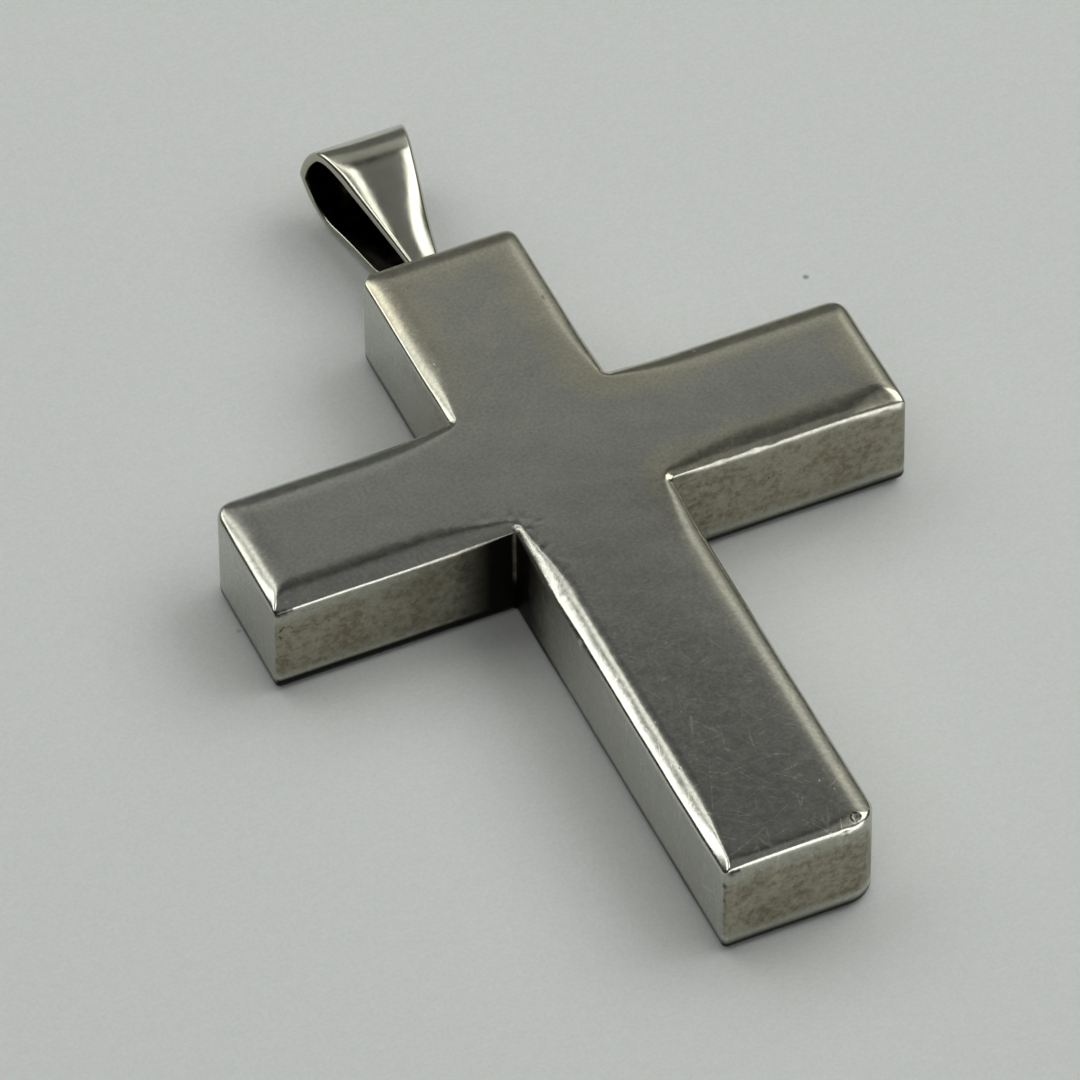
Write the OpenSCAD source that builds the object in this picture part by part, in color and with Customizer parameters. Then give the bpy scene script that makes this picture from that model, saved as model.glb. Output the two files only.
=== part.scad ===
// Cross pendant: a thick latin cross with softly rolled front edges,
// hung from a tapered strap that is folded over into a drop-shaped bail.
// It lies on its back on the plane z = 0, face up, with the bail towards +Y,
// and the middle of its crossing is over the origin.

/* [Cross] */
// Width across the two arms
span = 32; // [24:0.5:44]
// Width of the upright stem
stem_w = 7.95; // [5:0.05:12]
// Width of the two arms, measured up the stem
arm_w = 7.45; // [5:0.05:12]
// From the middle of the crossing to the top end
top_reach = 14.25; // [9:0.25:24]
// From the middle of the crossing to the bottom end
bottom_reach = 26.5; // [14:0.25:40]
// Thickness from the back face to the front face
thick = 5.8; // [3.6:0.1:9]

/* [Edges of the cross] */
// Width of the shoulder rolled along the front edges
roll_w = 1.2; // [0.7:0.1:1.8]
// Drop of that shoulder where it meets the side walls
roll_drop = 0.5; // [0.2:0.05:0.65]
// Radius along the back edges
back_r = 0.6; // [0.2:0.1:1.2]
// Radius of the upright corners at the ends
corner_r = 0.4; // [0.1:0.1:1]
// Radius of the four inner corners at the crossing
inner_r = 0.6; // [0.2:0.1:1.5]

/* [Bail] */
// Width of the strap at its fold
fold_w = 5.5; // [3:0.1:8]
// Width of the strap at its two ends
root_w = 1.1; // [0.8:0.1:2.5]
// Thickness of the strap
strap_t = 0.5; // [0.3:0.05:0.8]
// Outer radius of the fold
fold_r = 2.6; // [2:0.1:3.5]
// From the top end of the cross to the tip of the fold
bail_reach = 9.9; // [8:0.1:16]
// Length of the rear leg that lies flat, from the fold to its bend
flat_l = 3.1; // [1:0.1:4.5]
// Outer radius of the bend that lifts the rear leg to the ends
bend_r = 2; // [1:0.1:3]

/* [Clearances] */
// Gap between the ends of the strap and the top end of the cross
root_gap = 0.02; // [0.01:0.01:0.1]
// Lift of the fold above the surface that the back face lies on
fold_lift = 0.03; // [0:0.01:0.2]

/* [Hidden] */
$fn = 96;

// Allowance by which a cutting shape runs past what it cuts
past = 1;

// Radius of the arc that falls roll_drop over roll_w, level where it starts
roll_r = (roll_w * roll_w + roll_drop * roll_drop) / (2 * roll_drop);

// Section of the strap loop, as [y, z]: centres of the fold and of the rear bend,
// and the outer corners of the two ends, which lie flat against each other at mid thickness
fold_c = [top_reach + bail_reach - fold_r, fold_r + fold_lift];
bend_c = [fold_c.x - flat_l, bend_r + fold_lift];
root_y = top_reach + root_gap;
root_z = thick / 2;
front_root = [root_y, root_z + strap_t];
rear_root = [root_y, root_z - strap_t];

// Bearing, seen from c, of the point where a line from p touches a circle of radius r round c
function bearing(p, c) = atan2(p.y - c.y, p.x - c.x);
function touch(p, c, r, way) = (bearing(p, c) + way * acos(r / norm(p - c)) + 360) % 360;
front_turn = touch(front_root, fold_c, fold_r, -1);
rear_turn = touch(rear_root, bend_c, bend_r, 1);

// Point at a bearing on a circle of radius r round c
function on_arc(c, r, turn) = c + r * [cos(turn), sin(turn)];

// Where the inner faces of the two legs meet, from the lines that both touch
front_n = [cos(front_turn), sin(front_turn)];
rear_n = [cos(rear_turn), sin(rear_turn)];
front_d = front_n * fold_c + fold_r - strap_t;
rear_d = rear_n * bend_c + bend_r - strap_t;
notch = [front_d * rear_n.y - rear_d * front_n.y, front_n.x * rear_d - rear_n.x * front_d]
    / (front_n.x * rear_n.y - front_n.y * rear_n.x);

// Length of strap from the fold's tip to its front end, and the half width along it
fold_l = fold_r * front_turn * PI / 180;
strap_l = fold_l + norm(front_root - on_arc(fold_c, fold_r, front_turn));
function half_w(run) = (fold_w - (fold_w - root_w) * run / strap_l) / 2;

// Section across a bar of the cross: flat faces, rolled front edges, eased back edges
module bar_section(w) {
    difference() {
        translate([-w / 2, 0])
            square([w, thick]);
        for (side = [0, 1])
            mirror([side, 0]) {
                difference() {
                    translate([w / 2 - roll_w, thick - roll_drop])
                        square([roll_w + past, roll_drop + past]);
                    translate([w / 2 - roll_w, thick - roll_r])
                        circle(roll_r);
                }
                difference() {
                    translate([w / 2 - back_r, -past])
                        square([back_r + past, back_r + past]);
                    translate([w / 2 - back_r, back_r])
                        circle(back_r);
                }
            }
    }
}

// Plan of a bar of the cross, centred, with its upright corners rounded
module bar_plan(w, l) {
    difference() {
        square([w, l], center = true);
        for (sx = [0, 1], sy = [0, 1])
            mirror([sx, 0])
                mirror([0, sy])
                    translate([w / 2 - corner_r, l / 2 - corner_r])
                        difference() {
                            square([corner_r + past, corner_r + past]);
                            circle(corner_r);
                        }
    }
}

// One bar of the cross, centred: its section holds along both of its directions
module bar(w, l) {
    intersection() {
        translate([0, l / 2 + past, 0])
            rotate([90, 0, 0])
                linear_extrude(l + 2 * past)
                    bar_section(w);
        translate([-w / 2 - past, 0, 0])
            rotate([90, 0, 90])
                linear_extrude(w + 2 * past)
                    bar_section(l);
        translate([0, 0, -past])
            linear_extrude(thick + 2 * past)
                bar_plan(w, l);
    }
}

// Web that rounds one inner corner of the crossing, below the rolled edge
module inner_web() {
    translate([stem_w / 2, arm_w / 2, back_r])
        linear_extrude(thick - roll_drop - back_r)
            difference() {
                translate([-inner_r, -inner_r])
                    square(2 * inner_r);
                translate([inner_r, inner_r])
                    circle(inner_r);
            }
}

module cross() {
    color([0.72, 0.71, 0.68]) {
        stem_l = top_reach + bottom_reach;
        translate([0, top_reach - stem_l / 2, 0])
            bar(stem_w, stem_l);
        bar(span, arm_w);
        for (sx = [0, 1], sy = [0, 1])
            mirror([sx, 0, 0])
                mirror([0, sy, 0])
                    inner_web();
    }
}

// Outline of the loop's section, drawn inside its outer face by an inset: round the fold,
// down the front leg to the root, and back along the rear leg through its bend
module drop(inset, root) {
    fold_in = fold_r - inset;
    bend_in = bend_r - inset;
    translate(fold_c)
        circle(fold_in);
    translate(bend_c)
        circle(bend_in);
    polygon(concat(
        [on_arc(fold_c, fold_in, -90), fold_c, on_arc(fold_c, fold_in, front_turn)],
        root,
        [on_arc(bend_c, bend_in, rear_turn), bend_c, on_arc(bend_c, bend_in, -90)]
    ));
}

module loop_section() {
    difference() {
        drop(0, [front_root, rear_root]);
        drop(strap_t, [notch]);
    }
}

// Plan of the strap: its straight tapered sides, foreshortened round the fold
module strap_plan() {
    fold_steps = 6;
    fold_turns = [for (i = [0:fold_steps]) front_turn * i / fold_steps];
    side = concat(
        [for (turn = fold_turns) [half_w(fold_r * turn * PI / 180), on_arc(fold_c, fold_r, turn).x]],
        [[half_w(strap_l), root_y]]
    );
    polygon(concat(side, [for (i = [len(side) - 1:-1:0]) [-side[i].x, side[i].y]]));
}

module bail() {
    color([0.78, 0.77, 0.74])
        intersection() {
            translate([-fold_w / 2 - past, 0, 0])
                rotate([90, 0, 90])
                    linear_extrude(fold_w + 2 * past)
                        loop_section();
            translate([0, 0, -past])
                linear_extrude(2 * fold_r + fold_lift + 2 * past)
                    strap_plan();
        }
}

cross();
bail();
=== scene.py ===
"""Cross pendant of cast silver with a folded strap bail, lying face up on a pale table."""

import math

import bmesh
import bpy
from mathutils import Matrix, Quaternion, Vector, noise


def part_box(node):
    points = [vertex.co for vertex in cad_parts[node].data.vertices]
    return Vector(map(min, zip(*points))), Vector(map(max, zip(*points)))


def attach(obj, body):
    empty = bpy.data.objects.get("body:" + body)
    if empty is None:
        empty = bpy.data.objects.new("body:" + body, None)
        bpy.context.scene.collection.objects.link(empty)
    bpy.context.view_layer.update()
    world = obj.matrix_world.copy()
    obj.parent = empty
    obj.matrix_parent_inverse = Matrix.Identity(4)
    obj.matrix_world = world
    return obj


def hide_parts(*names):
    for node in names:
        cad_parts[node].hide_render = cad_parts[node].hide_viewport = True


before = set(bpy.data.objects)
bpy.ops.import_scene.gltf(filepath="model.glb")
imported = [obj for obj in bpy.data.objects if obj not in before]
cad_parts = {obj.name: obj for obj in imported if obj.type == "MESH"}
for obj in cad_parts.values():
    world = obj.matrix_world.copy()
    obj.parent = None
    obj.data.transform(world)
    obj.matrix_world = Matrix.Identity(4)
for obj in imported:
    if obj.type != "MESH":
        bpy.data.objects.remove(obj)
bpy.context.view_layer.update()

# Cross: one thick block of cast silver, filed flat on all sides and then buffed by hand,
# which rolls its front edges over in a soft shoulder and only eases the back ones. Years
# of wear lie over it. The mesh is shaped in millimetres and brought to metres at the end.
MM = 0.001
cross_low, cross_high = (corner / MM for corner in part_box("cross"))
half_span = cross_high.x
top_reach = cross_high.y
bottom_reach = -cross_low.y
thick = cross_high.z
stem_w = 7.95
arm_w = 7.45
half_stem = stem_w / 2
half_arm = arm_w / 2
inner_r = 0.18
# Rounding of the back edges, and how far the wear lifts them over which width
back_r = 0.45
back_rise = 0.14
back_worn_w = 2.4
# How far the front falls towards its far ends, and how far it stays under the solid's face
crown = 0.03
front_allowance = 0.01


def ease(low, high, value):
    """0 below low, 1 above high, and a smooth step between them."""
    t = min(max((value - low) / (high - low), 0), 1)
    return t * t * (3 - 2 * t)


def corner_join(a, b, r):
    """Depth inside a convex corner, from the depths inside its two sides, with radius r."""
    if min(a, b) >= r:
        return min(a, b)
    return r - math.hypot(max(r - a, 0), max(r - b, 0))


def cross_depth(x, y, r):
    """How far a point of the plan lies inside the outline of the cross."""
    side = math.hypot(
        max(half_stem + inner_r - abs(x), 0), max(half_arm + inner_r - abs(y), 0)
    ) - inner_r
    end = min(half_span - abs(x), top_reach - y, y + bottom_reach)
    return corner_join(side, end, r)


# The upright corners of the four ends, as the signs of x and y for an arm or the stem,
# each with the radius that years of wear gave it
arm_corners = {(-1, -1): 0.3, (-1, 1): 1.1, (1, -1): 0.4, (1, 1): 1.0}
stem_corners = {(-1, -1): 0.3, (1, -1): 1.6, (-1, 1): 0.8, (1, 1): 0.6}


def corner_radius(x, y):
    """Plan radius of the upright corner that a point lies nearest to."""
    sx = 1 if x > 0 else -1
    if abs(x) > half_stem + inner_r:
        return arm_corners[(sx, 1 if y > 0 else -1)]
    return stem_corners[(sx, 1 if y > 0 else -1)]


def round_corner(u, v):
    """Moves a point of a unit square onto the quarter disc that fills its corner."""
    return u * math.sqrt(1 - v * v / 2), v * math.sqrt(1 - u * u / 2)


def plan_place(x, y):
    """Where a point of the square-cornered plan lies once its corners are rounded."""
    r = corner_radius(x, y)
    if abs(x) > half_stem + inner_r:
        u, v = abs(x) - half_span + r, abs(y) - half_arm + r
        if u > 0 and v > 0:
            u, v = (w * r for w in round_corner(u / r, v / r))
            x = math.copysign(half_span - r + u, x)
            y = math.copysign(half_arm - r + v, y)
        return x, y
    reach = top_reach if y > 0 else bottom_reach
    u, v = abs(x) - half_stem + r, abs(y) - reach + r
    if u > 0 and v > 0:
        u, v = (w * r for w in round_corner(u / r, v / r))
        x = math.copysign(half_stem - r + u, x)
        y = math.copysign(reach - r + v, y)
    return x, y


def roll_fall(depth, width, fall, power):
    """Fall of the rolled shoulder at a depth inside the outline, faster towards the edge."""
    if depth >= width:
        return 0
    return fall * (1 - max(depth, 0) / width) ** power


def round_fall(depth, r):
    """Fall of a quarter round of radius r at a depth inside its edge."""
    if depth >= r:
        return 0
    return r - math.sqrt(max(r * r - (r - max(depth, 0)) ** 2, 0))


def wave(x, y, z, size, seed):
    """Smooth unevenness between about -1 and 1, in waves of the given size."""
    return noise.noise(Vector((x / size + seed, y / size - seed, z / size + 2 * seed)))


# Shoulder along each front edge: its width, how far it falls, how late the fall comes (a
# higher power keeps the face flat for longer), and the radius that is left on the arris
left_edge = (1.08, 0.47, 1.45, 0.15)
top_left_edge = (1.35, 0.36, 1.7, 0.16)
left_end = (2.0, 0.46, 2.9, 0.18)
left_near_corner = (0.5, 0.38, 1.05, 0.12)
left_far_corner = (2.2, 0.34, 2.6, 0.25)
right_edge = (1.4, 0.42, 2.4, 0.16)
right_end = (1.2, 0.40, 2.4, 0.18)
far_edge = (1.8, 0.44, 2.5, 0.18)
left_arm_near_edge = (1.55, 0.44, 2.5, 0.15)
right_arm_near_edge = (1.5, 0.18, 2.5, 0.38)
right_near_corner = (1.3, 0.50, 1.7, 0.34)
bottom_edge = (0.9, 0.16, 3.0, 0.30)
bottom_left_corner = (0.7, 0.20, 2.0, 0.14)
bottom_right_corner = (0.9, 0.38, 1.9, 0.26)
# A wide, shallow fall of the lower stem towards its right side
leaning_w = 3.6
leaning_fall = 0.10
leaning_power = 2
# What is left of a shoulder at the inner corners, where the buffing wheel didn't reach:
# shares of its fall, its width and its arris, and the power of its fall there
inner_fall = 0.62
inner_width = 0.26
inner_arris = 0.4
inner_power = 1.5
# How sharply the shoulders of a side and of an end meet: keenly at the near left corners
soft_mitre = 2
keen_mitre = 6


def mix(a, b, part):
    """Values a where part is 0, values b where it is 1."""
    return tuple(u + (v - u) * part for u, v in zip(a, b))


def side_shoulder(x, y, in_stem, in_arm):
    """The shoulder along the long sides near a point, blended round the inner corners."""
    if y > 0:
        arm_side = far_edge
    elif x > 0:
        arm_side = mix(right_arm_near_edge, right_near_corner, ease(12.8, 15.7, x))
    else:
        arm_side = left_arm_near_edge
    stem_side = right_edge
    if x < 0:
        stem_side = mix(left_near_corner, left_edge, ease(0.2, 4.5, y + bottom_reach))
        stem_side = mix(stem_side, top_left_edge, ease(-3, 3, y))
    return mix(stem_side, arm_side, in_arm / max(in_stem + in_arm, 1e-6))


def end_shoulder(x, y, in_stem):
    """The shoulder along the end of the arm or of the stem that a point lies in."""
    if in_stem > 0:
        if y > 0:
            return far_edge
        shape = mix(bottom_left_corner, bottom_edge, ease(-3.9, -2.0, x))
        return mix(shape, bottom_right_corner, ease(1.0, 3.4, x))
    if x > 0:
        return right_end
    shape = mix(left_near_corner, left_end, ease(0.3, 3.0, y + half_arm))
    return mix(shape, left_far_corner, ease(0.5, 3.4, y))


def casting(x, y):
    """How rough the casting is at a point of the plan: most at the lower left inner corner."""
    return 1 - ease(1.5, 8, math.hypot(x + half_stem, y + half_arm))


# Unevenness of the shoulders' width, in long waves and in short ripples
buffed_wave = 0.07
buffed_ripple = 0.025
# Depth of the pits that the casting left and of the waves and ripples that the hand left,
# the most that the hand's waves may rise, and the depth of the buffing wheel's marks
casting_pit = 0.034
hand_wave = 0.012
hand_ripple = 0.003
hand_most = 0.006
buffing_mark = 0.001


def front_height(x, y, r):
    """Height of the buffed front at a point of the plan."""
    depth = cross_depth(x, y, r)
    in_stem = max(half_stem + inner_r - abs(x), 0)
    in_arm = max(half_arm + inner_r - abs(y), 0)
    side_depth = max(math.hypot(in_stem, in_arm) - inner_r, 0)
    end_depth = max(min(half_span - abs(x), top_reach - y, y + bottom_reach), 0)
    crossing = math.hypot(max(abs(x) - half_stem, 0), max(abs(y) - half_arm, 0))
    away = ease(-1, 4.5, crossing)
    uneven = 1 + buffed_wave * wave(x, y, 0, 6, 3) + buffed_ripple * wave(x, y, 0, 1.3, 4)
    width, fall, power, arris = side_shoulder(x, y, in_stem, in_arm)
    fall *= inner_fall + (1 - inner_fall) * ease(-0.5, 3.5, crossing)
    side_w = width * uneven * (inner_width + (1 - inner_width) * away)
    side = roll_fall(side_depth, side_w, fall, inner_power + (power - inner_power) * away)
    width, fall, power, end_arris = end_shoulder(x, y, in_stem)
    end = roll_fall(end_depth, width * uneven, fall, power)
    mitre = keen_mitre if x < 0 and y < 0 else soft_mitre
    roll = (side ** mitre + end ** mitre) ** (1 / mitre)
    if x > 0:
        roll += roll_fall(side_depth, leaning_w, leaning_fall * ease(-3, -8, y), leaning_power)
    end_part = ease(0.3, 0.7, side_depth / max(side_depth + end_depth, 1e-6))
    arris += (end_arris - arris) * end_part
    arris *= inner_arris + (1 - inner_arris) * ease(0.2, 2, crossing)
    arris *= 1 + 0.2 * wave(x, y, 0, 2.5, 9)
    dome = crown * ((x / half_span) ** 2 + (y / bottom_reach) ** 2) / 2
    hand = hand_wave * wave(x, y, 0, 5, 1) + hand_ripple * wave(x, y, 0, 1.6, 5)
    inward = ease(0, 1.5, depth)
    pitted = casting(x, y) * (1 - ease(0.7, 1.5, depth)) * ease(0, 0.1, depth)
    height = thick - front_allowance - dome - roll - round_fall(depth, arris)
    height += casting_pit * pitted * min(wave(x, y, 0, 0.40, 21), 0)
    height += buffing_mark * wave(x, y, 0, 0.8, 7)
    return height + min(hand, hand_most) * inward


def back_height(x, y, r):
    """Height of the worn back at a point of the plan: flat in the middle, eased at its edge."""
    depth = cross_depth(x, y, r)
    rise = back_rise * (1 - ease(0, back_worn_w, depth))
    return rise + round_fall(depth, back_r * (1 + 0.15 * wave(x, y, 0, 4, 13)))


def cut(bm, axis, place):
    """Cuts a loop of edges through the whole mesh, square to an axis."""
    at = Vector((0, 0, 0))
    at[axis] = place
    way = Vector((0, 0, 0))
    way[axis] = 1
    bmesh.ops.bisect_plane(
        bm, geom=bm.verts[:] + bm.edges[:] + bm.faces[:], dist=1e-5, plane_co=at, plane_no=way
    )


# Distances inside an edge at which the mesh has a loop, close at first to hold the arris
edge_loops = [
    0.004, 0.016, 0.04, 0.075, 0.12, 0.18, 0.26, 0.36, 0.48, 0.6, 0.75, 0.9, 1.05, 1.25
]
face_step = 0.2
wall_steps = 24


def loops_between(low, high):
    """Places of the loops across one bar: close to its two edges, even between them."""
    places = [low + d for d in edge_loops] + [high - d for d in edge_loops]
    inner_low, inner_high = low + edge_loops[-1], high - edge_loops[-1]
    count = max(1, round((inner_high - inner_low) / face_step))
    places += [inner_low + (inner_high - inner_low) * i / count for i in range(1, count)]
    return places


bm = bmesh.new()
bmesh.ops.create_cube(bm, size=1)
bmesh.ops.scale(bm, vec=(stem_w, arm_w, thick), verts=bm.verts)
bmesh.ops.translate(bm, vec=(0, 0, thick / 2), verts=bm.verts)
for way, reach in (
    ((1, 0, 0), half_span - half_stem),
    ((-1, 0, 0), half_span - half_stem),
    ((0, 1, 0), top_reach - half_arm),
    ((0, -1, 0), bottom_reach - half_arm),
):
    bm.normal_update()
    flat_centre = {f: f.calc_center_median() * Vector((1, 1, 0)) for f in bm.faces}
    side = [f for f in bm.faces if flat_centre[f].normalized().dot(Vector(way)) > 0.999]
    grown = bmesh.ops.extrude_face_region(bm, geom=side)
    ends = [v for v in grown["geom"] if isinstance(v, bmesh.types.BMVert)]
    bmesh.ops.translate(bm, vec=Vector(way) * reach, verts=ends)
    bmesh.ops.delete(bm, geom=side, context="FACES_ONLY")
x_loops = loops_between(-half_stem, half_stem) + loops_between(half_stem, half_span)
x_loops += loops_between(-half_span, -half_stem)
y_loops = loops_between(-half_arm, half_arm) + loops_between(half_arm, top_reach)
y_loops += loops_between(-bottom_reach, -half_arm)
# More loops where the stem below the crossing is pitted
pitted_reach = 9
pitted_from = -half_arm - edge_loops[-1]
y_loops += [pitted_from - face_step * (i + 0.5) for i in range(round(pitted_reach / face_step))]
for place in x_loops:
    cut(bm, 0, place)
for place in y_loops:
    cut(bm, 1, place)
for i in range(1, wall_steps):
    cut(bm, 2, thick * i / wall_steps)

for v in bm.verts:
    x, y = plan_place(v.co.x, v.co.y)
    r = corner_radius(v.co.x, v.co.y)
    low, high = back_height(x, y, r), front_height(x, y, r)
    part = v.co.z / thick
    z = low + (high - low) * part
    v.co = Vector((x, y, z))

# Nicks and pits, each as its place, its radius and its depth, with a lump of the casting
# where the depth is below zero
nicks = (
    ((2.1, -26.5, 5.45), 0.16, 0.10),
    ((2.8, -26.0, 5.75), 0.24, 0.06),
    ((6.4, -3.72, 5.55), 0.22, 0.05),
    ((8.3, -3.72, 5.55), 0.26, 0.06),
    ((9.1, -3.60, 5.6), 0.20, 0.05),
    ((14.9, -3.72, 5.1), 0.30, 0.05),
    ((-3.97, -11.0, 5.2), 0.25, 0.05),
    ((-3.97, -4.5, 3.1), 0.34, -0.05),
    ((-3.97, -4.9, 2.5), 0.30, 0.05),
    ((-3.97, -5.3, 3.2), 0.32, -0.05),
    ((-3.97, -5.9, 2.7), 0.36, -0.04),
    ((-3.97, -6.5, 2.4), 0.32, -0.05),
    ((-3.97, -4.6, 1.9), 0.30, -0.04),
    ((-3.97, -5.5, 2.1), 0.28, 0.04),
)
# How deep the file left its waves and ripples in the walls
filed_wave = 0.012
filed_ripple = 0.003
bmesh.ops.recalc_face_normals(bm, faces=bm.faces)
bm.normal_update()
for v in bm.verts:
    upright = 1 - abs(v.normal.z)
    inset = filed_wave * (1 + wave(*v.co, 2.4, 17)) + filed_ripple * (1 + wave(*v.co, 0.8, 19))
    inset *= upright
    for place, radius, deep in nicks:
        off = (v.co - Vector(place)).length / radius
        if off < 1:
            inset += deep * (1 - off * off) ** 2
    v.co -= v.normal * inset
bmesh.ops.scale(bm, vec=(MM, MM, MM), verts=bm.verts)
for face in bm.faces:
    face.smooth = True


def placed(bm, name):
    """A new object in the scene that holds the finished mesh."""
    mesh = bpy.data.meshes.new(name)
    bm.to_mesh(mesh)
    bm.free()
    body = bpy.data.objects.new(name, mesh)
    bpy.context.scene.collection.objects.link(body)
    return body


cross_body = placed(bm, "cross_body")
cross_mesh = cross_body.data


def shared_values(mesh, **values):
    """Stores a value for each vertex of a mesh, for its material to read."""
    for name, numbers in values.items():
        layer = mesh.attributes.new(name, "FLOAT", "POINT")
        layer.data.foreach_set("value", numbers)


def near_inner_corner(x, y):
    """1 in the lower left inner corner of the cross, fading out along both walls."""
    reach = 5.5 if y > -half_arm - 0.1 else 6.5
    return 1 - ease(0.3, reach, math.hypot(x + half_stem, y + half_arm))


# Small black marks in dents along the arrises, each as its place and its radius
dark_marks = (
    ((-15.80, -3.70, 5.30), 0.30),
    ((-15.45, -3.72, 5.32), 0.26),
    ((-15.15, -3.73, 5.34), 0.20),
    ((-3.55, -26.48, 5.38), 0.26),
    ((-3.25, -26.50, 5.40), 0.20),
    ((-3.97, -26.45, 4.60), 0.26),
    ((-3.97, -26.50, 3.60), 0.24),
    ((2.80, -26.00, 5.75), 0.24),
    ((2.10, -26.50, 5.40), 0.20),
    ((3.20, 9.10, 5.75), 0.16),
    ((4.00, 5.20, 5.50), 0.18),
)

# For each vertex: black dirt with painted contact shade along the foot and underside, brown film,
# wear of the front, broken casting, warm tarnish with a painted sheen, and dulled polish, each 0
# where there is none
grime, patina, wear, ragged, tint, dull = [], [], [], [], [], []
for v, normal in zip(cross_mesh.vertices, cross_mesh.vertex_normals):
    x, y, z = v.co / MM
    n = normal.vector
    upright = 1 - abs(n.z)
    corner = max(near_inner_corner(x, y), 0.35 * near_inner_corner(-x, y))
    corner_line = 1 - ease(0.06, 0.2, max(abs(x + half_stem), abs(y + half_arm)))
    # Painted contact shade: the underside and the foot of the walls are made black where the cross
    # meets the table, in place of the shadow there
    underside_shade = ease(0.15, 0.45, -n.z) * (1 - ease(0.3, 0.55, z))
    foot_shade_top = 0.66 if x < 0 and y > -half_arm - 1 else 0.46
    near_foot_shade = (1 - ease(foot_shade_top, 0.95, z)) * ease(0.3, 0.8, -n.y)
    left_foot_shade = (1 - ease(0.6, 0.9, z)) * ease(0.3, 0.8, -n.x)
    foot_shade = max(near_foot_shade, left_foot_shade)
    rubbed_top = ease(3.6, 5.3, z) * (0.7 if x < half_stem else 0.4)
    rubbed = max(rubbed_top, 0.9 * (1 - ease(0.9, 1.5, z)))
    dirty = 1.2 * upright * corner * corner * (1 - 0.85 * corner_line * ease(1.8, 2.6, z))
    for place, radius in dark_marks:
        dirty += 0.9 * (1 - ease(0.3, 1, math.dist((x, y, z), place) / radius))
    grime.append(min(1, dirty + 1.6 * (underside_shade + foot_shade)))
    side_film = 0.28 + 0.72 * near_inner_corner(x, y) + 0.5 * near_inner_corner(x, -y)
    patina.append(upright * min(1, ease(0.2, 0.9, -n.y) * (1 - rubbed) + side_film))
    wear.append(ease(2, 22, -y))
    scuffed = (1 - ease(1.8, 3.4, abs(x - 8.2))) * (1 - ease(0.3, 1.1, abs(y + half_arm)))
    rough_rim = casting(x, y) * (upright + (1 - ease(0.6, 1.6, cross_depth(x, y, 0.1))))
    ragged.append(min(1, rough_rim + 0.6 * scuffed))
    # Warm tarnish of the face, with a painted sheen: lighter along its right edges and towards its
    # top
    edge_near = 1 - ease(0.6, 2.8, cross_depth(x, y, 0.1))
    right_rim_sheen = edge_near * ease(-3, 3, x + 0.4 * max(y, -4))
    tint.append((0.85 * right_rim_sheen + 0.4 * ease(-10, 8, y)) * ease(0.5, 0.9, n.z))
    scoured = (1 - ease(0.5, 2.6, x + half_span)) * ease(-3.6, 1, y)
    dull.append(ease(2, 7, y) + 1.5 * scoured)
shared_values(
    cross_mesh, grime=grime, patina=patina, wear=wear, ragged=ragged, tint=tint, dull=dull
)


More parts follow.
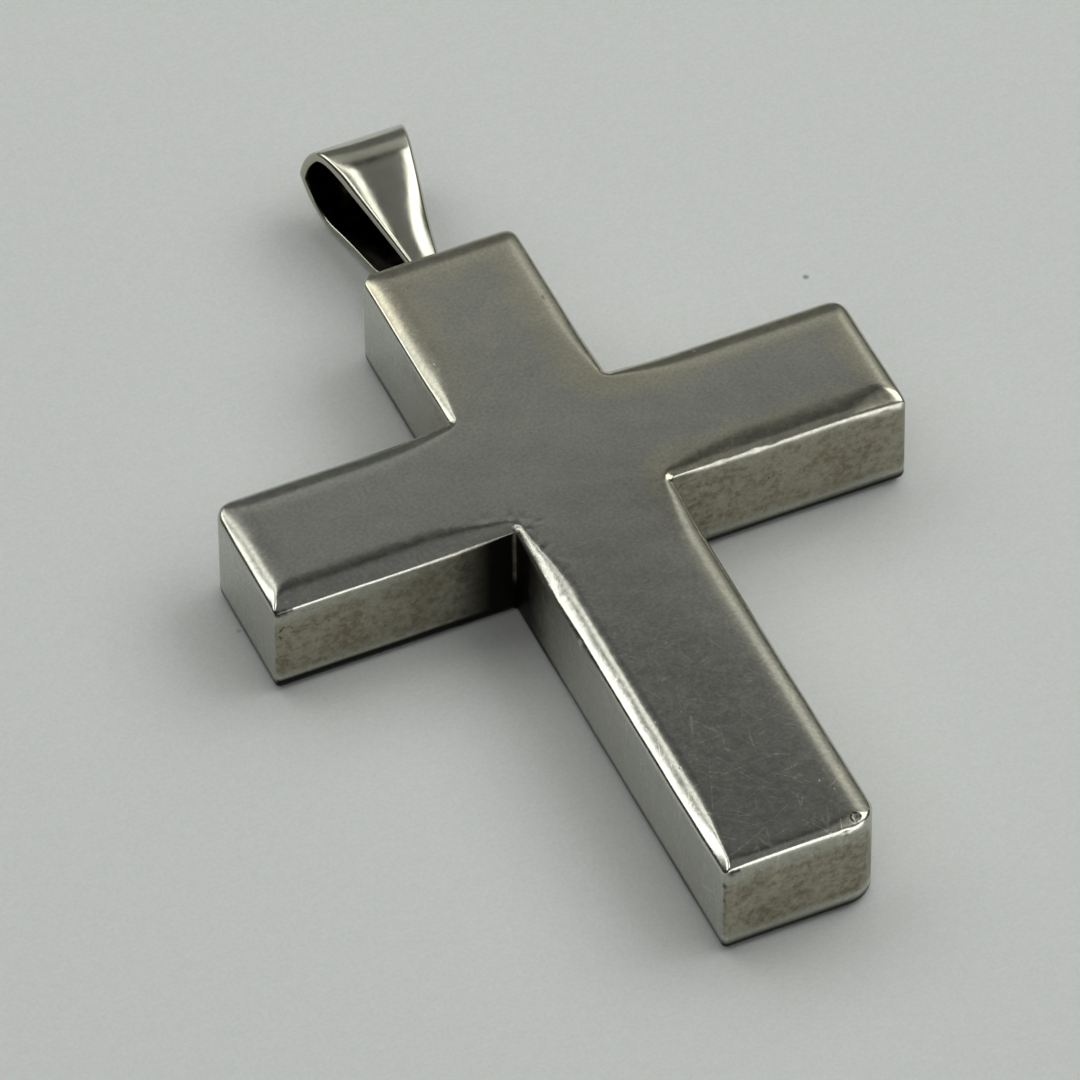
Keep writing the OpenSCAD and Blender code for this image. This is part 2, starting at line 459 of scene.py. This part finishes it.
class Finish:
    """Builds the nodes of one finish: each call adds a node and returns its output."""

    def __init__(self, name):
        self.material = bpy.data.materials.new(name)
        self.material.use_nodes = True
        self.tree = self.material.node_tree
        self.shader = self.tree.nodes["Principled BSDF"]
        coords = self.tree.nodes.new("ShaderNodeTexCoord")
        self.mm = self.mapped(coords.outputs["Object"], size=(MM, MM, MM))

    def put(self, node, **inputs):
        """Sets a node's inputs, by links from outputs or by plain values."""
        for name, value in inputs.items():
            socket = node.inputs[name.replace("_", " ")]
            if isinstance(value, bpy.types.NodeSocket):
                self.tree.links.new(value, socket)
            else:
                socket.default_value = value
        return node

    def mapped(self, vector, turn=(0, 0, 0), size=(1, 1, 1)):
        """The vector turned, then measured in steps of the given sizes."""
        node = self.tree.nodes.new("ShaderNodeMapping")
        node.vector_type = "TEXTURE"
        self.put(node, Vector=vector, Rotation=turn, Scale=size)
        return node.outputs["Vector"]

    def noise(self, vector, size, detail=2, rough=0.5, bend=0):
        """Noise between 0 and 1 with lumps of a size in the vector's units."""
        node = self.tree.nodes.new("ShaderNodeTexNoise")
        self.put(node, Vector=vector, Scale=1 / size, Detail=detail)
        self.put(node, Roughness=rough, Distortion=bend)
        return node.outputs["Fac"]

    def spots(self, vector, size):
        """Distance from the nearest of scattered points that are about a size apart."""
        node = self.put(self.tree.nodes.new("ShaderNodeTexVoronoi"), Vector=vector, Scale=1 / size)
        return node.outputs["Distance"]

    def between(self, value, low, high, start=0.0, end=1.0):
        """Start where value is at low, end where it is at high, and smooth between."""
        node = self.tree.nodes.new("ShaderNodeMapRange")
        node.interpolation_type = "SMOOTHSTEP"
        self.put(node, Value=value, From_Min=low, From_Max=high, To_Min=start, To_Max=end)
        return node.outputs["Result"]

    def maths(self, way, a, b):
        """One step of arithmetic on two outputs or plain values."""
        node = self.tree.nodes.new("ShaderNodeMath")
        node.operation = way
        for socket, value in zip(node.inputs, (a, b)):
            if isinstance(value, bpy.types.NodeSocket):
                self.tree.links.new(value, socket)
            else:
                socket.default_value = value
        return node.outputs["Value"]

    def total(self, *values):
        """The sum of several values."""
        result = values[0]
        for value in values[1:]:
            result = self.maths("ADD", result, value)
        return result

    def times(self, *values):
        """The product of several values."""
        result = values[0]
        for value in values[1:]:
            result = self.maths("MULTIPLY", result, value)
        return result

    def blend(self, part, a, b):
        """Colour a where part is 0 and colour b where it is 1."""
        node = self.tree.nodes.new("ShaderNodeMix")
        node.data_type = "RGBA"
        for socket, value in ((node.inputs[0], part), (node.inputs[6], a), (node.inputs[7], b)):
            if isinstance(value, bpy.types.NodeSocket):
                self.tree.links.new(value, socket)
            else:
                socket.default_value = (*value, 1)
        return node.outputs[2]

    def stored(self, name):
        """A value that the mesh holds for each vertex."""
        node = self.tree.nodes.new("ShaderNodeAttribute")
        node.attribute_name = name
        return node.outputs["Fac"]

    def scaled(self, colour, value):
        """The colour made lighter or darker by a factor."""
        node = self.tree.nodes.new("ShaderNodeVectorMath")
        node.operation = "SCALE"
        self.tree.links.new(colour, node.inputs[0])
        self.tree.links.new(value, node.inputs["Scale"])
        return node.outputs["Vector"]

    def ring(self, place, radius, width):
        """1 on a small ring round a place in millimetres, 0 beside it."""
        away = self.tree.nodes.new("ShaderNodeVectorMath")
        away.operation = "DISTANCE"
        self.tree.links.new(self.mm, away.inputs[0])
        away.inputs[1].default_value = place
        off = self.maths("ABSOLUTE", self.maths("SUBTRACT", away.outputs["Value"], radius), 0)
        return self.between(off, 0.2 * width, width, 1, 0)

    def relief(self, height, depth):
        """Bumps that stand depth millimetres high where height is 1."""
        node = self.put(self.tree.nodes.new("ShaderNodeBump"), Height=height)
        node.inputs["Distance"].default_value = depth * MM
        self.tree.links.new(node.outputs["Normal"], self.shader.inputs["Normal"])

    def hairlines(self, turn, spread, width):
        """Fine, nearly straight scratches at a turn round +Z: 1 on a scratch and 0 beside it."""
        angle = (0, 0, math.radians(turn))
        lying = self.mapped(self.mm, angle, (14 * spread, spread, 9))
        level = self.maths("ABSOLUTE", self.maths("SUBTRACT", self.noise(lying, 1, 0), 0.5), 0)
        line = self.between(level, 0, width / spread, 1, 0)
        piece = self.noise(self.mapped(self.mm, angle, (1.5, 0.5, 1.5)), 1, 0)
        return self.times(line, self.between(piece, 0.56, 0.64))


silver = Finish("cast_silver")
old = silver.stored("patina")
dirt_and_shade = silver.stored("grime")
worn = silver.stored("wear")
poor = silver.stored("ragged")
warm_tarnish_and_sheen = silver.stored("tint")
# Where the metal is stained: small mottling, larger blotches and the film they break up
mottle = silver.noise(silver.mm, 0.42, 5, 0.62, 0.3)
blotch = silver.noise(silver.mm, 1.9, 4, 0.6, 0.7)
grain = silver.noise(silver.mm, 0.17, 3, 0.6)
uneven = silver.total(mottle, silver.times(blotch, 0.6))
film = silver.times(old, silver.between(uneven, 0.58, 1.0, 0.76, 1.0))
deep = silver.times(film, silver.between(uneven, 0.80, 1.10))
# A warm, lighter haze in random blotches, and a painted sheen where the stored tint is high
haze_and_sheen = silver.between(silver.total(silver.times(blotch, 0.5), silver.times(warm_tarnish_and_sheen, 0.55)), 0.30, 0.85)
sparkle = silver.between(silver.noise(silver.mm, 0.10, 2, 0.7), 0.64, 0.72)
# Dirt that stays in the dent at the left arm's near corner and round the pit at the foot
dent_line = silver.ring((-15.42, -3.73, 3.95), 0.36, 0.09)
dirt_and_shade = silver.total(dirt_and_shade, silver.times(dent_line, silver.between(mottle, 0.45, 0.62, 0.0, 0.7)))
pit_line = silver.ring((2.8, -26.0, 5.75), 0.26, 0.07)
dirt_and_shade = silver.total(dirt_and_shade, silver.times(pit_line, silver.between(mottle, 0.40, 0.56, 0.1, 0.9)))
# Black where there is dirt, and painted black shade along the foot and the underside of the cross
black_dirt_and_shade = silver.times(dirt_and_shade, silver.between(silver.total(mottle, dirt_and_shade), 0.45, 0.95))
specks = silver.between(silver.noise(silver.mm, 0.20, 2, 0.55), 0.68, 0.78)
glints = silver.between(silver.spots(silver.mm, 1.3), 0.015, 0.045, 1, 0)
clean_colour = (0.522, 0.536, 0.490)
haze_sheen_colour = (0.612, 0.602, 0.480)
olive_colour = (0.290, 0.270, 0.196)
brown_colour = (0.222, 0.200, 0.143)
deep_colour = (0.140, 0.126, 0.088)
black_colour = (0.012, 0.011, 0.009)
colour = silver.blend(haze_and_sheen, clean_colour, haze_sheen_colour)
colour = silver.scaled(colour, silver.between(worn, 0, 1, 1.0, 1.12))
stain = silver.total(silver.times(mottle, 0.55), silver.times(blotch, 0.45))
film_colour = silver.blend(silver.between(stain, 0.37, 0.63), olive_colour, brown_colour)
colour = silver.blend(film, colour, film_colour)
colour = silver.blend(silver.times(deep, 0.5), colour, deep_colour)
specks = silver.times(specks, silver.between(old, 0.2, 0.8, 0.04, 0.7))
colour = silver.blend(specks, colour, black_colour)
colour = silver.scaled(colour, silver.between(grain, 0.25, 0.75, 0.90, 1.10))
colour = silver.scaled(colour, silver.between(mottle, 0.25, 0.75, 0.95, 1.05))
colour = silver.scaled(colour, silver.between(blotch, 0.25, 0.75, 0.97, 1.03))
colour = silver.scaled(colour, silver.between(silver.times(sparkle, worn), 0, 1, 1.0, 1.25))
colour = silver.scaled(colour, silver.between(glints, 0, 1, 1.0, 1.35))
colour = silver.blend(black_dirt_and_shade, colour, black_colour)
# Scratches that show in the colour, the relief and the polish
scratches = silver.total(
    silver.hairlines(24, 0.60, 0.012),
    silver.hairlines(-38, 0.52, 0.011),
    silver.hairlines(71, 0.70, 0.012),
    silver.hairlines(118, 0.45, 0.010),
    silver.hairlines(3, 0.80, 0.012),
)
seen = silver.times(scratches, silver.between(worn, 0, 1, 0.15, 1.0))
colour = silver.scaled(colour, silver.between(seen, 0, 1, 1.0, 1.14))
fine = silver.noise(silver.mm, 0.13, 2, 0.6)
lumps = silver.noise(silver.mm, 0.7, 2, 0.5)
pits = silver.between(silver.spots(silver.mm, 0.55), 0.05, 0.13, 1, 0)
sparse = silver.between(silver.noise(silver.mm, 1.4, 1), 0.56, 0.66)
height = silver.total(
    silver.times(seen, -0.07),
    silver.times(fine, silver.between(old, 0, 1, 0.06, 0.8)),
    silver.times(fine, poor, 0.40),
    silver.times(lumps, 0.18),
    silver.times(pits, sparse, -0.7),
)
silver.relief(height, 0.012)
rough = silver.total(
    silver.between(old, 0, 1, 0.16, 0.40),
    silver.times(seen, 0.06),
    silver.times(poor, 0.05),
    silver.times(silver.stored("dull"), 0.03),
    silver.between(mottle, 0.3, 0.7, 0, 0.06),
)
silver.put(silver.shader, Base_Color=colour, Roughness=rough, Metallic=1.0)
cross_mesh.materials.append(silver.material)
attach(cross_body, "root")
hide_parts("cross")

# Bail: a strip of silver sheet, tapered to both ends and slightly domed, folded over a
# round mandrel. Its two ends are soldered, flat against each other, to the top end of the
# cross, and its inside is painted black as shade, with a faint painted glow in patches.
fold_w = 5.5
root_w = 1.1
strap_t = 0.5
fold_r = 2.6
flat_l = 3.1
bend_r = 2
fold_lift = 0.03
strap_edge_r = 0.18
# How far the domed strap falls at its edges, how far the dome leans to one side on the front
# leg and at the fold, and how square it is at the fold and softer at the root
strap_dome = 0.31
leg_lean = 0.58
fold_lean = -0.10
fold_squareness = 3
root_squareness = 2
# Share of the dome that goes again towards the front root
dome_lost = 0.65
bail_low, bail_high = (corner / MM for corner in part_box("bail"))
fold_c = (bail_high.y - fold_r, fold_r + fold_lift)
bend_c = (fold_c[0] - flat_l, bend_r + fold_lift)
root_y = bail_low.y
# Length at the root over which the two ends lie against each other, and half their gap
root_flat = 0.8
root_half_gap = 0.005
front_root = (root_y, thick / 2 + strap_t)
rear_root = (root_y, thick / 2 - strap_t)


def on_arc(c, r, turn):
    """Point at a bearing on a circle in the section, as (y, z)."""
    return c[0] + r * math.cos(turn), c[1] + r * math.sin(turn)


def touch(p, c, r, way):
    """Bearing, seen from c, of the point where a line from p touches the circle."""
    bearing = math.atan2(p[1] - c[1], p[0] - c[0])
    return (bearing + way * math.acos(r / math.dist(p, c))) % (2 * math.pi)


front_turn = touch(front_root, fold_c, fold_r, -1)
rear_turn = touch(rear_root, bend_c, bend_r, 1)
fold_l = fold_r * front_turn
front_l = fold_l + math.dist(front_root, on_arc(fold_c, fold_r, front_turn))
half_fold_l = fold_r * math.pi / 2
bend_l = bend_r * (1.5 * math.pi - rear_turn)
rear_l = half_fold_l + flat_l + bend_l + math.dist(rear_root, on_arc(bend_c, bend_r, rear_turn))


def strap_place(run):
    """Outer face at a run from the fold's tip: its (y, z) and the bearing outwards."""
    if run >= fold_l:
        y, z = on_arc(fold_c, fold_r, front_turn)
        part = (run - fold_l) / (front_l - fold_l)
        return (y + (front_root[0] - y) * part, z + (front_root[1] - z) * part), front_turn
    if run >= -half_fold_l:
        return on_arc(fold_c, fold_r, run / fold_r), run / fold_r
    run = -run - half_fold_l
    if run <= flat_l:
        return (fold_c[0] - run, fold_lift), -math.pi / 2
    run -= flat_l
    if run <= bend_l:
        turn = 1.5 * math.pi - run / bend_r
        return on_arc(bend_c, bend_r, turn), turn
    y, z = on_arc(bend_c, bend_r, rear_turn)
    part = (run - bend_l) / (rear_l - half_fold_l - flat_l - bend_l)
    return (y + (rear_root[0] - y) * part, z + (rear_root[1] - z) * part), rear_turn


def strap_point(across, run, depth):
    """Where a point of the straight, even strip lies once it is tapered, domed and folded."""
    length = front_l if run > 0 else rear_l
    half_w = (fold_w - (fold_w - root_w) * abs(run) / length) / 2
    edge = fold_w / 2 - abs(across)
    rim = 2 * strap_edge_r
    if edge < rim:
        x = half_w - edge
    else:
        x = abs(across) / (fold_w / 2 - rim) * (half_w - rim)
    round_off = round_fall(edge, strap_edge_r)
    leg = max(0, (run - fold_l) / (front_l - fold_l))
    lean = fold_lean + leg_lean * ease(0, 0.9, leg)
    bend = fold_squareness + (root_squareness - fold_squareness) * ease(0, 0.7, leg)
    rise = ease(0.4, 1, run / fold_l) * (1 - dome_lost * ease(0.4, 1, leg))
    if run < 0:
        rise = ease(0.1, 0.5, -run / length)
    sag = strap_dome * rise * abs(math.copysign(x, across) / half_w + lean) ** bend
    inward = sag + round_off + (strap_t - 2 * round_off) * depth / strap_t
    (y, z), turn = strap_place(run)
    y -= inward * math.cos(turn)
    z -= inward * math.sin(turn)
    y = max(y, root_y)
    if y < root_y + root_flat:
        middle = thick / 2
        z = max(z, middle + root_half_gap) if run > 0 else min(z, middle - root_half_gap)
    return Vector((math.copysign(x, across), y, z))


bm = bmesh.new()
bmesh.ops.create_cube(bm, size=1)
strap_l = front_l + rear_l
bmesh.ops.scale(bm, vec=(fold_w, strap_l, strap_t), verts=bm.verts)
bmesh.ops.translate(bm, vec=(0, (front_l - rear_l) / 2, strap_t / 2), verts=bm.verts)
rim_loops = [0.004, 0.016, 0.04, 0.08, 0.13, 0.18, 0.25, 0.36]
across_steps = 20
run_step = 0.16
depth_steps = 5
for d in rim_loops:
    cut(bm, 0, fold_w / 2 - d)
    cut(bm, 0, d - fold_w / 2)
rim = fold_w / 2 - rim_loops[-1]
for i in range(1, across_steps):
    cut(bm, 0, rim * (2 * i / across_steps - 1))
run_steps = round(strap_l / run_step)
for i in range(1, run_steps):
    cut(bm, 1, -rear_l + strap_l * i / run_steps)
for i in range(1, depth_steps):
    cut(bm, 2, strap_t * i / depth_steps)
bmesh.ops.recalc_face_normals(bm, faces=bm.faces)
# For each vertex: painted black shade on the inner face, and the shade along the cut rims
soot, rim_shade = [], []
for v in bm.verts:
    edge = fold_w / 2 - abs(v.co.x)
    soot.append(ease(0.7 * strap_t, 0.98 * strap_t, v.co.z) * ease(0.02, 0.2, edge))
    rim_shade.append(1 - ease(0.02, 0.1, edge))
    v.co = strap_point(*v.co)
bmesh.ops.scale(bm, vec=(MM, MM, MM), verts=bm.verts)
for face in bm.faces:
    face.smooth = True
strap_bail = placed(bm, "strap_bail")
shared_values(strap_bail.data, soot=soot, rim_shade=rim_shade)

strap_colour = (0.65, 0.655, 0.555)
rim_colour = (0.42, 0.41, 0.33)
soot_colour = (0.006, 0.006, 0.004)
inner_glow_colour = (0.06, 0.054, 0.03)
strap_silver = Finish("strap_silver")
sooty = strap_silver.stored("soot")
smear = strap_silver.noise(strap_silver.mm, 0.8, 3, 0.6)
# Painted shade: the inside of the loop is made black, with a faint painted olive glow in random
# patches
inner_dark_part = strap_silver.between(strap_silver.total(sooty, strap_silver.times(smear, 0.3)), 0.35, 0.75)
colour = strap_silver.blend(strap_silver.stored("rim_shade"), strap_colour, rim_colour)
inner_glow = strap_silver.between(strap_silver.noise(strap_silver.mm, 1.2, 3, 0.6), 0.50, 0.66)
painted_inside_colour = strap_silver.blend(inner_glow, soot_colour, inner_glow_colour)
colour = strap_silver.blend(inner_dark_part, colour, painted_inside_colour)
grain = strap_silver.noise(strap_silver.mm, 0.25, 3, 0.6)
strap_silver.relief(grain, 0.003)
rough = strap_silver.between(smear, 0.3, 0.7, 0.17, 0.25)
strap_silver.put(strap_silver.shader, Base_Color=colour, Roughness=rough, Metallic=1.0)
strap_bail.data.materials.append(strap_silver.material)
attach(strap_bail, "root")
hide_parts("bail")

# Table: a plain sheet of pale, matt board with a fine grain and a few specks of dust, which
# the pendant lies loose on. It is much wider than the camera sees.
table_reach = 2
table_gap = 0.01 * MM
bm = bmesh.new()
bmesh.ops.create_grid(bm, x_segments=1, y_segments=1, size=table_reach)
bmesh.ops.translate(bm, vec=(0, 0, -table_gap), verts=bm.verts)
table_top = placed(bm, "table_top")
shaded_colour = (0.684, 0.704, 0.679)
pale_colour = (0.746, 0.766, 0.746)
dust_colour = (0.2, 0.2, 0.19)
paper = Finish("pale_table")
cloud = paper.noise(paper.mm, 0.7, 3, 0.65)
speck = paper.between(paper.spots(paper.mm, 9), 0.012, 0.03, 1, 0)
weave = paper.noise(paper.mm, 0.2, 2, 0.6)
colour = paper.blend(cloud, shaded_colour, pale_colour)
colour = paper.scaled(colour, paper.between(weave, 0.25, 0.75, 0.965, 1.035))
colour = paper.blend(speck, colour, dust_colour)
paper.put(paper.shader, Base_Color=colour, Roughness=0.75)
table_top.data.materials.append(paper.material)

# Camera: it looks down on the pendant from the foot end, a little from the left, through a
# very long lens, so that opposite edges stay nearly parallel
camera_data = bpy.data.cameras.new("camera")
camera_data.lens = 400
camera_data.sensor_width = 36
camera_data.clip_start = 0.01
camera_data.clip_end = 100
camera = bpy.data.objects.new("camera", camera_data)
bpy.context.scene.collection.objects.link(camera)
aim = Vector((-3.22, -4.86, 5.8)) * MM
azimuth = math.radians(-23.79)
elevation = math.radians(47.53)
distance = 0.549
away = Vector((
    math.sin(azimuth) * math.cos(elevation),
    -math.cos(azimuth) * math.cos(elevation),
    math.sin(elevation),
))
camera.location = aim + distance * away
camera.rotation_mode = "QUATERNION"
roll = math.radians(-0.595)
camera.rotation_quaternion = (-away).to_track_quat("-Z", "Y") @ Quaternion((0, 0, 1), roll)
bpy.context.scene.camera = camera

# Light: a dim room with a tall window of two panes at the back left, a large soft light low
# behind the camera, a pale card above the far side and a smaller soft light on the right
world = bpy.data.worlds.new("studio")
world.use_nodes = True
bpy.context.scene.world = world
tree = world.node_tree
background = tree.nodes["Background"]
way_in = tree.nodes.new("ShaderNodeTexCoord")


def lobe(way, full_to, gone_at, strength):
    """Glow of the room round a direction, even up to one angle and gone at another."""
    facing = tree.nodes.new("ShaderNodeVectorMath")
    facing.operation = "DOT_PRODUCT"
    tree.links.new(way_in.outputs["Generated"], facing.inputs[0])
    facing.inputs[1].default_value = Vector(way).normalized()
    fade = tree.nodes.new("ShaderNodeMapRange")
    fade.interpolation_type = "SMOOTHSTEP"
    fade.inputs["From Min"].default_value = math.cos(math.radians(gone_at))
    fade.inputs["From Max"].default_value = math.cos(math.radians(full_to))
    fade.inputs["To Max"].default_value = strength
    tree.links.new(facing.outputs["Value"], fade.inputs["Value"])
    return fade.outputs["Result"]


glow = lobe((0, 0, 1), 0, 180, 0.05)
for part in (
    lobe((0.27, -0.35, 0.90), 30, 42, 0.13),
    lobe((0.27, 0.66, 0.70), 2, 19, 0.04),
    lobe((0.72, 0.55, 0.42), 4, 20, 0.32),
    lobe((0.52, 0.62, 0.58), 4, 22, 0.06),
    lobe((-0.15, 0.63, 0.76), 5, 17, 0.08),
    lobe((0.27, 0.93, 0.25), 14, 34, 0.09),
):
    add = tree.nodes.new("ShaderNodeMath")
    add.operation = "ADD"
    tree.links.new(glow, add.inputs[0])
    tree.links.new(part, add.inputs[1])
    glow = add.outputs["Value"]
tree.links.new(glow, background.inputs["Strength"])
background.inputs["Color"].default_value = (1, 0.995, 0.97, 1)


def panel(name, way, distance, width, height, radiance, tint=(1, 1, 1), tall=(0, 1, 0)):
    """A soft panel that faces the object, with its height as near as may be along tall."""
    data = bpy.data.lights.new(name, "AREA")
    data.shape = "RECTANGLE"
    data.size, data.size_y = width, height
    data.energy = radiance * width * height * math.pi
    data.color = tint
    lamp = bpy.data.objects.new(name, data)
    bpy.context.scene.collection.objects.link(lamp)
    back = Vector(way).normalized()
    up = (Vector(tall) - back * back.dot(Vector(tall))).normalized()
    side = up.cross(back)
    turn = Matrix((side, up, back)).transposed()
    lamp.matrix_world = Matrix.Translation(back * distance) @ turn.to_4x4()
    lamp.visible_camera = False
    return lamp


def across(lean, rise):
    """Direction that leans by an angle from overhead towards +X and rises back towards +Y."""
    lean, rise = math.radians(lean), math.radians(rise)
    return Vector((math.sin(lean), math.tan(rise) * math.cos(lean), math.cos(lean)))


# Lights that show as reflections in the silver, but leave the table to the others
seen_lights = (
    panel("window_inner", across(-21, 38), 0.6, 0.08, 0.8, 1.5, (1, 0.98, 0.91)),
    panel("window_outer", across(-43, 38), 0.6, 0.155, 0.8, 2.4, (1, 0.985, 0.94)),
    panel("window_top", across(-15, 3), 0.6, 0.10, 0.28, 2.0, (1, 0.99, 0.95)),
    panel("front_light", (0.30, -0.92, 0.22), 0.8, 1.0, 0.36, 2.4, (1, 0.99, 0.97), (0, 0, 1)),
    panel("right_light", (0.72, -0.03, 0.64), 0.7, 0.34, 0.66, 2.0, (1, 0.99, 0.96)),
)
for lamp in seen_lights:
    lamp.visible_diffuse = False
# A large soft card close above the far side, which lights the table there too
card_height = 0.15
card = panel("far_card", (0, 0, 1), card_height, 0.40, 0.13, 0.20, (1, 1, 0.95))
card.location = (0.08, 0.178, card_height)
# Wide lights for the table and the pendant's shadows, which don't show in the silver
glow_away = 0.7
glow_w = 0.45
pale_green = (0.985, 1, 0.99)
floor_lights = (
    panel("back_left_glow", (-0.45, 0.45, 0.77), glow_away, glow_w, glow_w, 1.05, pale_green),
    panel("right_glow", (0.64, 0, 0.77), glow_away, glow_w, glow_w, 2.05, pale_green),
    panel("back_glow", (0, 0.55, 0.84), glow_away, glow_w, glow_w, 0.75, pale_green),
    panel("back_right_glow", (0.45, 0.45, 0.77), glow_away, glow_w, glow_w, 0.62, pale_green),
    panel("front_right_glow", (0.45, -0.5, 0.74), glow_away, glow_w, glow_w, 0.9, pale_green),
    panel("front_left_glow", (-0.4, -0.5, 0.77), glow_away, glow_w, glow_w, 0.90, pale_green),
)
for lamp in floor_lights:
    lamp.visible_glossy = False
bpy.context.scene.view_settings.view_transform = "Standard"
